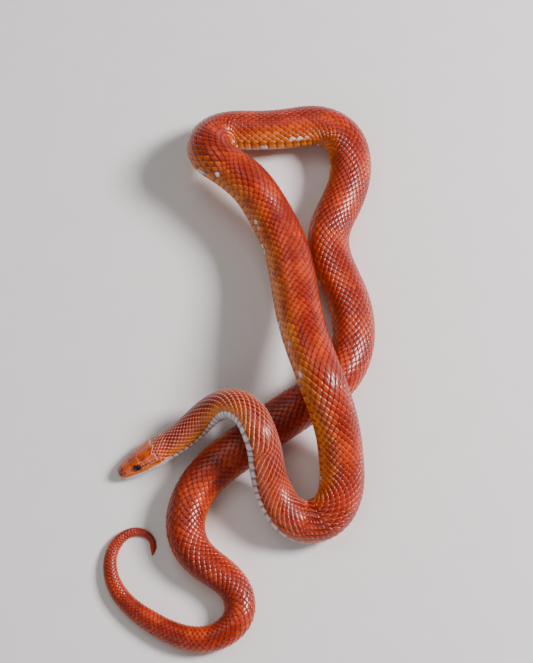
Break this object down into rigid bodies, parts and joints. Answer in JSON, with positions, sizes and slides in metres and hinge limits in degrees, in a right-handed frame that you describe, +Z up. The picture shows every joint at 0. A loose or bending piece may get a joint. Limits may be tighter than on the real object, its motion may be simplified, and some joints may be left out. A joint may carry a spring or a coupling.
{
  "type": "corn snake model",
  "caption": "Life-size still model of a corn snake lying in loose loops on a floor, neck draped over its own body, red-orange scales.",
  "frame": {"origin": "middle of the footprint, on the floor", "axes": "+Z up from the floor, +Y along the longer side of the footprint, away from the viewer of the picture, +X to that viewer's right"},
  "size_m": [0.1465, 0.3128, 0.0503],
  "materials": {
    "scaled_skin": "satin, glossy on the keels of the scales",
    "pale_lip_skin": "satin",
    "eye_surface": "wet gloss"
  },
  "bodies": {
    "root": {"head": "scaled_skin", "lower_jaw": "pale_lip_skin", "eye_left": "eye_surface", "eye_right": "eye_surface", "neck": "scaled_skin", "arch_rise": "scaled_skin", "arch_fall": "scaled_skin", "fore_drop": "scaled_skin", "lower_bend_left": "scaled_skin", "lower_bend_right": "scaled_skin", "diagonal_rise": "scaled_skin", "diagonal_middle": "scaled_skin", "diagonal_top": "scaled_skin", "upper_left_bend_high": "scaled_skin", "upper_left_bend_low": "scaled_skin", "top_run": "scaled_skin", "upper_right_bend": "scaled_skin", "right_run_upper": "scaled_skin", "right_run_lower": "scaled_skin", "underpass_bend": "scaled_skin", "underpass": "scaled_skin", "hind_curve_high": "scaled_skin", "hind_curve_low": "scaled_skin", "hind_turn": "scaled_skin", "tail_base": "scaled_skin", "tail_middle": "scaled_skin", "tail_hook": "scaled_skin", "tail_tip": "scaled_skin"}
  },
  "joints": []
}
